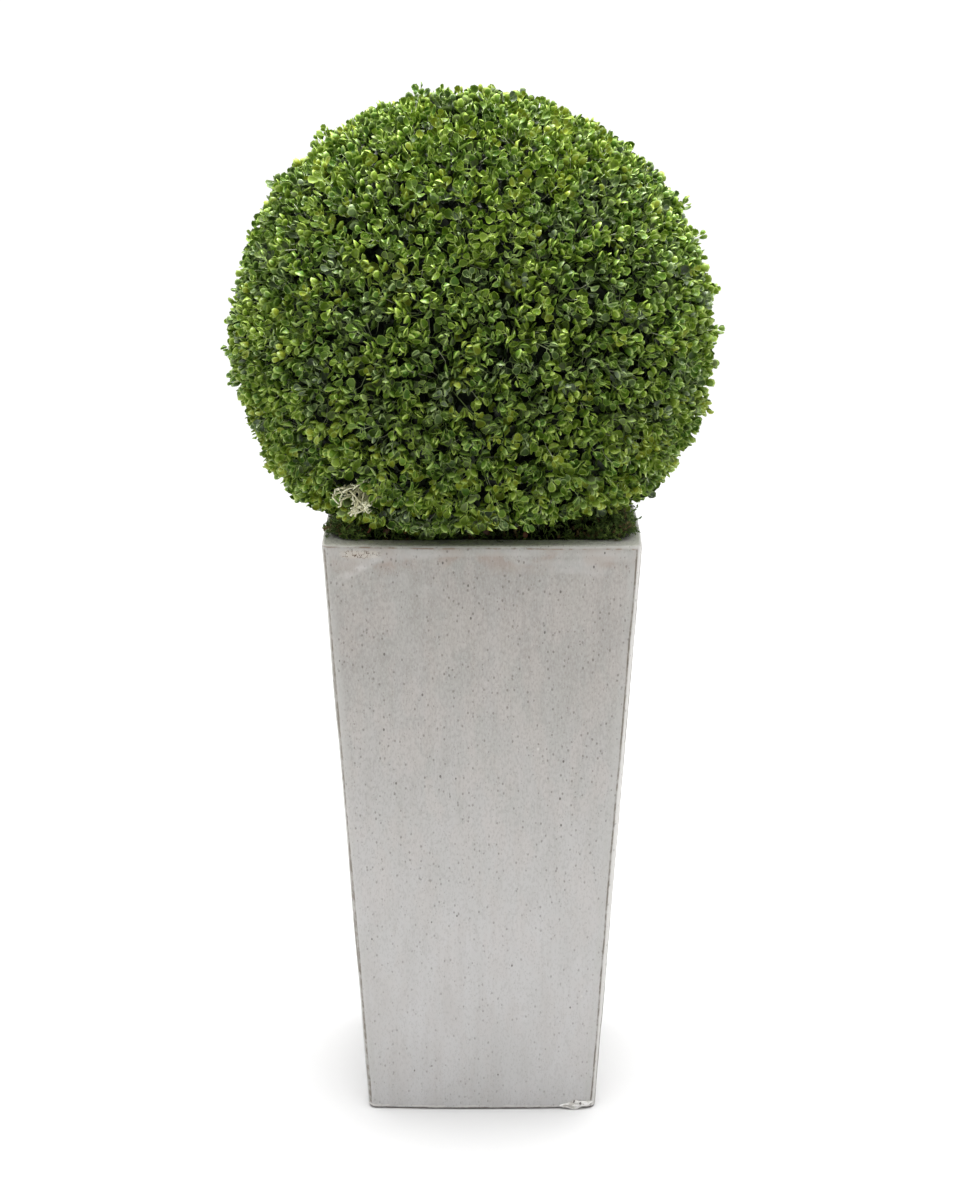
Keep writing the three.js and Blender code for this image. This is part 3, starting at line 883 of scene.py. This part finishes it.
def rest_on_lip(points, settings):
    """Lifts what would sink into the lip on to it, and says which pieces can stay."""
    over = ~in_mouth(points, settings, 0.002)
    over &= square_reach(points) < settings.top_width / 2 + 0.05
    floor = moss_height(points)
    low = over & (points[..., 2] < floor)
    sunk = np.where(low, floor - points[..., 2], 0).max(axis=-1)
    points[..., 2] = np.where(low, floor, points[..., 2])
    in_tuft = (np.linalg.norm(points - lichen_centre(), axis=-1) < 0.019).any(axis=-1)
    return points, (sunk < 0.006) & ~in_tuft


# ---------------------------------------------------------------- moss and lichen

def merged_copy(node):
    """A merged bmesh copy of a node of the frame."""
    bm = bmesh.new()
    bm.from_mesh(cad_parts[node].data)
    bmesh.ops.remove_doubles(bm, verts=bm.verts[:], dist=1e-5)
    return bm


def roughen(bm, pitch, depth):
    """Divides a mesh and crumples it."""
    bmesh.ops.triangulate(bm, faces=bm.faces[:])
    long_edges = [e for e in bm.edges if e.calc_length() > 0.008]
    bmesh.ops.subdivide_edges(bm, edges=long_edges, cuts=1, use_grid_fill=True)
    bm.normal_update()
    for v in bm.verts:
        v.co += v.normal * (noise.noise(v.co / pitch) * depth - depth * 0.4)


def pull_in(bm, pot):
    """Draws a wad's outer side in from the lip's edge, most at the front right corner."""
    for v in bm.verts:
        limit = pot.top_width / 2 - 0.009
        if v.co.x > 0:
            limit -= 0.011 * smoothly((-v.co.y - 0.10) / 0.05)
        past = abs(v.co.x) - limit
        if past > 0:
            v.co.x = math.copysign(limit + 0.5 * past, v.co.x)


def surface_spots(bm, count, seed):
    """Points spread evenly by area over the faces of a mesh, with the normals there."""
    bmesh.ops.triangulate(bm, faces=bm.faces[:])
    corners = np.array([[v.co[:] for v in f.verts] for f in bm.faces])
    normals = np.array([f.normal[:] for f in bm.faces])
    areas = np.array([f.calc_area() for f in bm.faces])
    rng = np.random.default_rng(seed)
    chosen = rng.choice(len(areas), count, p=areas / areas.sum())
    u, v = rng.random((2, count, 1))
    flip = u + v > 1
    u, v = np.where(flip, 1 - u, u), np.where(flip, 1 - v, v)
    a, b, c = (corners[chosen, i] for i in range(3))
    return a + u * (b - a) + v * (c - a), normals[chosen]


def moss_shoot_form():
    """A shoot of moss up +Z: a tapered stem with small leaflets in a spiral."""
    bm = bmesh.new()
    bmesh.ops.create_cone(bm, cap_ends=True, segments=3, radius1=0.06, radius2=0.015, depth=1.0)
    bmesh.ops.translate(bm, verts=bm.verts[:], vec=(0, 0, 0.5))
    slice_evenly(bm, 2, 0.0, 1.0, 0.32)
    for i in range(11):
        height = 0.10 + 0.082 * i
        turn = Matrix.Rotation(i * GOLDEN_ANGLE, 3, "Z")
        size = 0.34 - 0.022 * i
        corners = [(0.0, -0.08, height), (size, 0.0, height + 0.18), (0.0, 0.08, height)]
        bm.faces.new([bm.verts.new(turn @ Vector(c)) for c in corners])
    return Form(bm)


def scrap_form():
    """A scrap of dry leaf along +Z: a narrow strip with pointed ends."""
    bm = bmesh.new()
    bmesh.ops.create_grid(bm, x_segments=2, y_segments=8, size=0.5)
    for v in bm.verts:
        t = v.co.y + 0.5
        width = 0.45 * math.sin(math.pi * min(0.97, t + 0.12)) ** 0.7
        v.co = Vector((0.5 * abs(v.co.x) * width, v.co.x * width, t))
    return Form(bm)


def curled_copies(form, spots, axis, length, curl, seed):
    """Copies of a form that stands up +Z, set on spots along axes and curled over by an angle."""
    rng = np.random.default_rng(seed)
    side, other = turned(*across(axis), rng.random((len(spots), 1)) * 2 * math.pi)
    x, y, z = (form.points[None, :, i : i + 1] for i in range(3))
    bend = np.maximum(curl[:, None, None], 0.05)
    out = (1 - np.cos(bend * z)) / bend + x * np.cos(bend * z)
    up = np.sin(bend * z) / bend - x * np.sin(bend * z)
    points = side[:, None] * out + other[:, None] * y + axis[:, None] * up
    return spots[:, None] + points * length[:, None, None]


def bank_spots(pot, count, seed):
    """Places all through the bank of moss round the ball's foot. It lies on most of the lip's
    sides and back, stops at the inner edge of the lip's front and reaches both front corners."""
    rng = np.random.default_rng(seed)
    half = pot.top_width / 2
    mouth = half - pot.lip_width
    spots = rng.uniform(-half, half, (count, 3))
    x, y = spots[:, 0], spots[:, 1]
    waves = 0.0018 * (np.sin(x * 95) + np.sin(y * 80 + x * 140 + 1))
    corner = np.where(x < 0, 0.004, -0.003) * smoothly((np.abs(x) - 0.11) / 0.05)
    to_front = mouth + 0.0005 + waves + corner + y
    reach = square_reach(spots)
    front_right = smoothly((x + 0.05) / 0.1) * smoothly((-y - 0.10) / 0.05)
    to_side = half - 0.0055 - 0.0065 * front_right + waves - reach
    inside = smoothly(np.minimum(to_front, to_side) / 0.012)
    foot = LIP_TOP + 0.0005 - np.where(reach < mouth, 0.012, 0.0)
    top = LIP_TOP + 0.002 + (moss_height(spots) - LIP_TOP - 0.002) * inside
    spots[:, 2] = foot + (top - foot) * np.sqrt(rng.random(count))
    return spots[(reach > mouth - 0.028) & (to_front > 0) & (to_side > 0)]


def lichen_branches(centre, radius, seed):
    """Start, end and level of every branch of the tuft."""
    rng = np.random.default_rng(seed)
    outward = unit(centre - BALL_CENTRE)
    middle = centre - outward * 0.006
    starts = [middle + rng.normal(0, 1, 3) * LICHEN_SPREAD for _ in range(LICHEN_STARTS)]
    tips = [(start, None, 0) for start in starts]
    rows = []
    while tips:
        start, heading, level = tips.pop()
        if heading is None:
            heading = unit(rng.normal(0, 1, 3) + outward * 0.8)
        end = start + heading * BRANCH_LENGTHS[level] * (0.7 + 0.6 * rng.random())
        if np.linalg.norm((end - centre) / LICHEN_STRETCH) > radius:
            continue
        rows.append((start, end, level))
        if level < len(BRANCH_LENGTHS) - 1:
            for _ in range(2 if rng.random() < 0.75 else 1):
                tips.append((end, unit(heading + rng.normal(0, 0.7, 3)), level + 1))
    return rows


# ---------------------------------------------------------------- settings

class PotSettings(bpy.types.PropertyGroup):
    top_width: FloatProperty(
        name="Top width",
        description="Width across the mouth between the corners",
        default=2 * (POT_HIGH.x - FACE_BOW),
        unit="LENGTH",
    )
    foot_share: FloatProperty(
        name="Foot share",
        description="Width of the foot against the width of the top",
        default=0.764,
        min=0.3,
        max=1.0,
        subtype="FACTOR",
    )
    lip_width: FloatProperty(
        name="Lip width",
        description="Width of the flat top of the lip",
        default=0.032,
        unit="LENGTH",
    )
    # The glaze is painted darker near the lip as shade of the ball above, and lighter near the foot as
    # painted light of the floor's bounce.
    glaze_high_painted_shade: FloatVectorProperty(
        name="Glaze near the lip",
        description="Colour of the glaze near the lip",
        default=(0.635, 0.621, 0.601),
        subtype="COLOR_GAMMA",
    )
    glaze_low_painted_light: FloatVectorProperty(
        name="Glaze near the foot",
        description="Colour of the glaze near the foot",
        default=(0.812, 0.810, 0.810),
        subtype="COLOR_GAMMA",
    )


class BallSettings(bpy.types.PropertyGroup):
    sprig_count: IntProperty(
        name="Sprigs",
        description="Fine sprigs over the whole ball",
        default=3450,
        min=100,
    )
    leaf_length: FloatProperty(
        name="Leaf length",
        description="Length of a full leaf with its stalk",
        default=0.0176,
        unit="LENGTH",
    )


class MossSettings(bpy.types.PropertyGroup):
    shoot_count: IntProperty(
        name="Shoots",
        description="Shoots that the shares of the bed, the wads and the bank are counted from",
        default=2600,
        min=10,
    )
    shoot_length: FloatProperty(
        name="Shoot length",
        description="Length of a shoot of moss",
        default=0.0115,
        unit="LENGTH",
    )


class StageSettings(bpy.types.PropertyGroup):
    distance: FloatProperty(
        name="Camera distance",
        description="How far in front of the pot's axis the camera stands",
        default=2.8,
        unit="LENGTH",
    )
    height: FloatProperty(
        name="Camera height",
        description="How far above the floor the camera stands",
        default=1.4,
        unit="LENGTH",
    )
    pitch: FloatProperty(
        name="Camera pitch",
        description="How far below the level the camera looks",
        default=math.radians(15.227),
        subtype="ANGLE",
    )
    lens: FloatProperty(
        name="Lens",
        description="Focal length of the camera's lens in millimetres",
        default=68.31,
        subtype="DISTANCE_CAMERA",
    )


def scene_settings():
    """The settings of this scene: pot, ball, moss and stage."""
    scene = bpy.context.scene
    return scene.box_pot, scene.box_ball, scene.box_moss, scene.box_stage


# ---------------------------------------------------------------- operators

class BOXBALL_OT_pot(bpy.types.Operator):
    """Make the glazed pot and finish the foam that fills it"""
    bl_idname = "boxball.pot"
    bl_label = "Make pot"

    def execute(self, context):
        pot = scene_settings()[0]
        body = add_bmesh("pot_glazed", make_pot_mesh(pot), glaze_material(pot))
        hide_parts("pot")
        add_bmesh("pot_glaze_roll", make_roll_mesh(pot), roll_material())
        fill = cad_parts["pot_fill"]
        fill.data.materials.clear()
        foam = earthy_material("fill_foam", (58, 46, 34), (88, 72, 54), 0.006)
        fill.data.materials.append(foam)
        return {"FINISHED"}


class BOXBALL_OT_stem(bpy.types.Operator):
    """Make the stem and the core that it carries"""
    bl_idname = "boxball.stem"
    bl_label = "Make stem and core"

    def execute(self, context):
        bark = earthy_material("bark", (60, 46, 34), (112, 94, 74), 0.008, 0.9, 0.8)
        stem = add_bmesh("stem_bark", make_stem_mesh(), bark)
        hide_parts(STEM_NODE)
        # The core's near-black green is painted shade of the ball's depths.
        dark = earthy_material("core_painted_shade", (8, 18, 3), (20, 34, 8), 0.012, 0.9, 2.0)
        core = add_bmesh("ball_core", make_core_mesh(), dark)
        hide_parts("foliage_ball")
        return {"FINISHED"}


class BOXBALL_OT_twigs(bpy.types.Operator):
    """Grow the boughs out of the core and the twigs out of the boughs"""
    bl_idname = "boxball.twigs"
    bl_label = "Grow boughs and twigs"

    def execute(self, context):
        pot, ball = scene_settings()[:2]
        sprigs = Sprigs(ball, pot)
        directions = sprigs.bough_directions
        k = np.arange(BOUGH_COUNT)
        foot = BALL_CENTRE + directions * BOUGH_FOOT_RADIUS
        end = BALL_CENTRE + directions * BOUGH_END_RADIUS
        side, other = across(directions)
        sway = side * (chance(k, 21) - 0.5)[:, None] + other * (chance(k, 22) - 0.5)[:, None]
        form = tube_form(5, 6)
        third = (end - foot) / 3
        points = bend_tubes(form, foot, foot + third + sway * 0.006, end - third, end, 0.0024, 0.0012)
        in_pot = in_mouth(end, pot, -pot.lip_width) & (end[:, 2] < LIP_TOP + 0.02)
        points = points[~in_pot]
        wood = plain("bough_green_wood", srgb(70, 78, 46), 0.6)
        add_copies("ball_boughs", form, points, np.zeros(len(points), int), [wood])

        # Each twig leaves its fork straight and comes round to its tip's own heading.
        form = tube_form(3, 3)
        start, end = sprigs.roots, sprigs.tips
        length = np.linalg.norm(end - start, axis=1)[:, None]
        early = start + unit(end - start) * length * 0.30
        late = end - sprigs.axes * length * 0.42
        points = bend_tubes(form, start, early, late, end, 0.0008, 0.0005)
        points, _ = rest_on_lip(points, pot)
        shades = (len(TWIG_COLOURS) * chance(sprigs.seeds, 31)).astype(int)
        skins = plains("twig", TWIG_COLOURS, 0.5)
        add_copies("ball_twigs", form, points, shades, skins)
        return {"FINISHED"}


class BOXBALL_OT_leaves(bpy.types.Operator):
    """Grow the leaves on the twigs, each family and depth as its own piece"""
    bl_idname = "boxball.leaves"
    bl_label = "Grow leaves"

    def execute(self, context):
        pot, ball = scene_settings()[:2]
        sprigs = Sprigs(ball, pot)
        full = leaf_form(8, True)
        start = 0
        for depth, pairs in (("tips", TIP_PAIRS), ("middles", MIDDLE_PAIRS)):
            leaves = leaf_points(full, sprigs, pairs, ball.leaf_length, start)
            start += len(pairs)
            for family, name in enumerate(FAMILIES):
                chosen = sprigs.families == family
                skins = plains(f"leaf_{depth}_{name}", LEAF_COLOURS[depth][name], 0.45, 0.32)
                margin = srgb(*MARGIN_HIGHLIGHT_COLOURS[depth][name])
                skins.append(plain(f"margin_{depth}_{name}", margin, 0.34, 0.40))
                kind = f"leaves_{depth}_{name}"
                self.add_leaves(kind, full, leaves[chosen], sprigs.shades[chosen], skins)
        simple = leaf_form(5, False)
        leaves = leaf_points(simple, sprigs, INNER_PAIRS, ball.leaf_length, start)
        skins = plains("leaf_inner_painted_shade", INNER_SHADE_COLOURS)
        self.add_leaves("leaves_inner", simple, leaves, sprigs.shades, skins)
        return {"FINISHED"}

    def add_leaves(self, name, form, leaves, shades, materials):
        """One piece of leaves, with those that would sink into the lip left out."""
        shades = np.repeat(shades, leaves.shape[1])
        points = leaves.reshape(-1, *leaves.shape[2:])
        points, stays = rest_on_lip(points, scene_settings()[0])
        add_copies(name, form, points[stays], shades[stays], materials)


class BOXBALL_OT_moss(bpy.types.Operator):
    """Lay the moss bed, pack the corner wads and let shoots creep over the lip"""
    bl_idname = "boxball.moss"
    bl_label = "Lay moss"

    def execute(self, context):
        pot, _, moss = scene_settings()[:3]
        peat = earthy_material("moss_underside", (22, 24, 13), (48, 54, 25), 0.005, 0.95, 1.5)
        spots, normals = [], []
        for number, (node, share) in enumerate(MOSS_SHARES.items()):
            bm = merged_copy(node)
            roughen(bm, 0.009, 0.0025)
            pull_in(bm, pot)
            where, facing = surface_spots(bm, int(moss.shoot_count * share), 40 + number)
            if node == "moss_bed":
                shown = (facing[:, 2] > 0.5) & (where[:, 2] > LIP_TOP - 0.05)
            else:
                shown = (facing[:, 2] > -0.2) & (where[:, 2] > LIP_TOP - 0.004)
            spots.append(where[shown])
            normals.append(facing[shown])
            piece = add_bmesh(f"{node}_mat", bm, peat)
            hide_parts(node)
        bank = bank_spots(pot, int(moss.shoot_count * BANK_SHARE), 47)
        spots.append(bank)
        normals.append(np.tile([0.0, 0.0, 1.0], (len(bank), 1)))
        self.add_shoots(np.concatenate(spots), np.concatenate(normals), moss.shoot_length)
        self.add_scraps(pot)
        return {"FINISHED"}

    def add_shoots(self, spots, normals, length):
        """Grows a curling shoot on every spot, short and upright near the pot's edge."""
        rng = np.random.default_rng(51)
        count = len(spots)
        height = spots[:, 2]
        outward = unit(spots - np.append(BALL_CENTRE[:2], LIP_TOP))
        reach = square_reach(spots)
        spill = 0.25 - 0.35 * smoothly((reach - 0.15) / 0.02)
        lean = rng.normal(0, 0.55, (count, 3)) + [0, 0, 0.15] + outward * spill[:, None]
        axis = unit(unit(normals) + lean)
        raised = np.abs(axis[:, 2]) * 0.6 + 0.1
        axis[:, 2] = np.where(height < LIP_TOP + 0.004, raised, axis[:, 2])
        axis = unit(axis)
        at_edge = np.abs(spots[:, 0]) > 0.162
        stray = at_edge & (rng.random(count) < 0.06) & (height > LIP_TOP + 0.008)
        short = 1 - 0.3 * smoothly((reach - 0.164) / 0.015)
        lengths = length * (0.6 + 0.8 * rng.random(count)) * np.where(stray, 1.3, short)
        curls = 0.4 + 2.2 * rng.random(count)
        form = moss_shoot_form()
        points = curled_copies(form, spots - axis * 0.001, axis, lengths, curls, 52)
        on_lip = np.maximum(points[..., 2], LIP_TOP + 0.0006)
        points[..., 2] = np.where(square_reach(points) > 0.157, on_lip, points[..., 2])
        skins = plains("moss", SHOOT_COLOURS, 0.65, 0.35)
        shades = rng.choice(len(skins), count, p=SHOOT_SHARES)
        add_copies("moss_shoots", form, points, shades, skins)

    def add_scraps(self, pot):
        """Drops curled scraps of dry leaf on the moss by the front edge and round the rim."""
        rng = np.random.default_rng(57)
        mouth = pot.top_width / 2 - pot.lip_width
        front, rest = FRONT_SCRAPS, SCRAP_COUNT - FRONT_SCRAPS
        spots = np.empty((SCRAP_COUNT, 3))
        spots[:front, 0] = -0.117 + 0.030 * rng.normal(0, 0.6, front)
        spots[:front, 1] = -mouth - 0.003 * rng.random(front)
        turn = rng.random(rest) * 2 * math.pi
        square = np.maximum(np.abs(np.cos(turn)), np.abs(np.sin(turn)))
        spots[front:, 0] = np.cos(turn) / square * (mouth + 0.004)
        spots[front:, 1] = np.sin(turn) / square * (mouth + 0.004)
        spots[:, 2] = LIP_TOP + 0.005 + 0.006 * rng.random(SCRAP_COUNT)
        axis = unit(rng.normal(0, 1, (SCRAP_COUNT, 3)) * [1.0, 0.5, 0.35] + [0, 0, 0.25])
        lengths = 0.011 + 0.009 * rng.random(SCRAP_COUNT)
        curls = 1.5 + 1.8 * rng.random(SCRAP_COUNT)
        form = scrap_form()
        points = curled_copies(form, spots, axis, lengths, curls, 58)
        points[..., 2] = np.maximum(points[..., 2], LIP_TOP + 0.001)
        skins = plains("scrap", SCRAP_COLOURS, 0.6)
        shades = np.arange(SCRAP_COUNT) % len(skins)
        add_copies("moss_scraps", form, points, shades, skins)


class BOXBALL_OT_lichen(bpy.types.Operator):
    """Tuck the lichen tuft into the ball"""
    bl_idname = "boxball.lichen"
    bl_label = "Tuck in lichen"

    def execute(self, context):
        low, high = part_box("lichen_tuft")
        rows = lichen_branches(lichen_centre(), (high.x - low.x) / 2 + 0.004, 61)
        starts, ends, levels = (np.array(column) for column in zip(*rows))
        bend = np.random.default_rng(62).normal(0, 0.0009, starts.shape)
        form = tube_form(4, 2)
        third = (ends - starts) / 3
        thick = np.array(BRANCH_RADII)[levels][:, None, None]
        points = bend_tubes(form, starts, starts + third + bend, ends - third, ends, thick, thick * 0.8)
        creams = [plain("lichen_cream", srgb(200, 198, 162), 0.85, 0.2)]
        creams.append(plain("lichen_pale", srgb(228, 226, 198), 0.85, 0.2))
        shades = (levels > 1).astype(int)
        tuft = add_copies("lichen_strands", form, points, shades, creams)
        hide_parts("lichen_tuft")
        return {"FINISHED"}


class BOXBALL_OT_stage(bpy.types.Operator):
    """Set up the floor, the lights and the camera"""
    bl_idname = "boxball.stage"
    bl_label = "Set the stage"

    def execute(self, context):
        stage = scene_settings()[3]
        scene = context.scene
        scene.view_settings.view_transform = "Standard"
        bm = bmesh.new()
        bmesh.ops.create_grid(bm, x_segments=1, y_segments=1, size=30)
        mesh = bpy.data.meshes.new("floor")
        bm.to_mesh(mesh)
        bm.free()
        mesh.materials.append(plain("floor_white", (0.842, 0.842, 0.842, 1), 0.9, 0.1))
        floor = bpy.data.objects.new("floor", mesh)
        scene.collection.objects.link(floor)

        # The walls glow softly, dimmest in front, and a camera sees them as plain white.
        world = bpy.data.worlds.new("studio")
        world.use_nodes = True
        nodes = Nodes(world.node_tree)
        across_room = nodes.parts(nodes.value("TexCoord", "Generated", {}))[1]
        seen = nodes.value("LightPath", "Is Camera Ray", {}) * 1.1
        glow = across_room.mapped(-0.9, 0.6, 0.44, 0.79).math("MAXIMUM", seen)
        background = world.node_tree.nodes["Background"]
        nodes.put(background.inputs["Strength"], glow)
        nodes.put(background.inputs["Color"], (1, 1, 1, 1))
        scene.world = world

        for name, (kind, power, place, softness) in LIGHTS.items():
            light = bpy.data.lights.new(name, kind)
            light.energy = power
            for key, value in softness.items():
                setattr(light, key, value)
            lamp = bpy.data.objects.new(name, light)
            lamp.rotation_euler = (ROOF_TILT, 0, 0)
            if place is not None:
                towards = Vector(BALL_CENTRE) - Vector(place)
                lamp.location = place
                lamp.rotation_euler = towards.to_track_quat("-Z", "Y").to_euler()
            scene.collection.objects.link(lamp)

        camera = bpy.data.objects.new("camera", bpy.data.cameras.new("camera"))
        camera.data.lens = stage.lens
        camera.data.sensor_width = 36
        camera.location = (-0.00255, -stage.distance, stage.height)
        camera.rotation_euler = (math.pi / 2 - stage.pitch, 0, 0)
        scene.collection.objects.link(camera)
        scene.camera = camera
        return {"FINISHED"}


class BOXBALL_PT_panel(bpy.types.Panel):
    """The makers of the box ball and its pot"""
    bl_idname = "BOXBALL_PT_panel"
    bl_label = "Box ball"
    bl_space_type = "VIEW_3D"
    bl_region_type = "UI"
    bl_category = "Box Ball"

    def draw(self, context):
        for settings in scene_settings():
            box = self.layout.box()
            for key in settings.__annotations__:
                box.prop(settings, key)
        for operator in OPERATORS:
            self.layout.operator(operator.bl_idname)


SETTINGS = {
    "box_pot": PotSettings,
    "box_ball": BallSettings,
    "box_moss": MossSettings,
    "box_stage": StageSettings,
}
OPERATORS = [
    BOXBALL_OT_stage,
    BOXBALL_OT_pot,
    BOXBALL_OT_stem,
    BOXBALL_OT_twigs,
    BOXBALL_OT_leaves,
    BOXBALL_OT_moss,
    BOXBALL_OT_lichen,
]


def register():
    for name, group in SETTINGS.items():
        bpy.utils.register_class(group)
        setattr(bpy.types.Scene, name, PointerProperty(type=group))
    for cls in [*OPERATORS, BOXBALL_PT_panel]:
        bpy.utils.register_class(cls)


def unregister():
    for cls in [BOXBALL_PT_panel, *reversed(OPERATORS)]:
        bpy.utils.unregister_class(cls)
    for name, group in reversed(SETTINGS.items()):
        delattr(bpy.types.Scene, name)
        bpy.utils.unregister_class(group)


def main():
    """Makes everything in order."""
    register()
    bpy.ops.boxball.stage()
    bpy.ops.boxball.pot()
    bpy.ops.boxball.stem()
    bpy.ops.boxball.twigs()
    bpy.ops.boxball.leaves()
    bpy.ops.boxball.moss()
    bpy.ops.boxball.lichen()


if __name__ == "__main__":
    main()
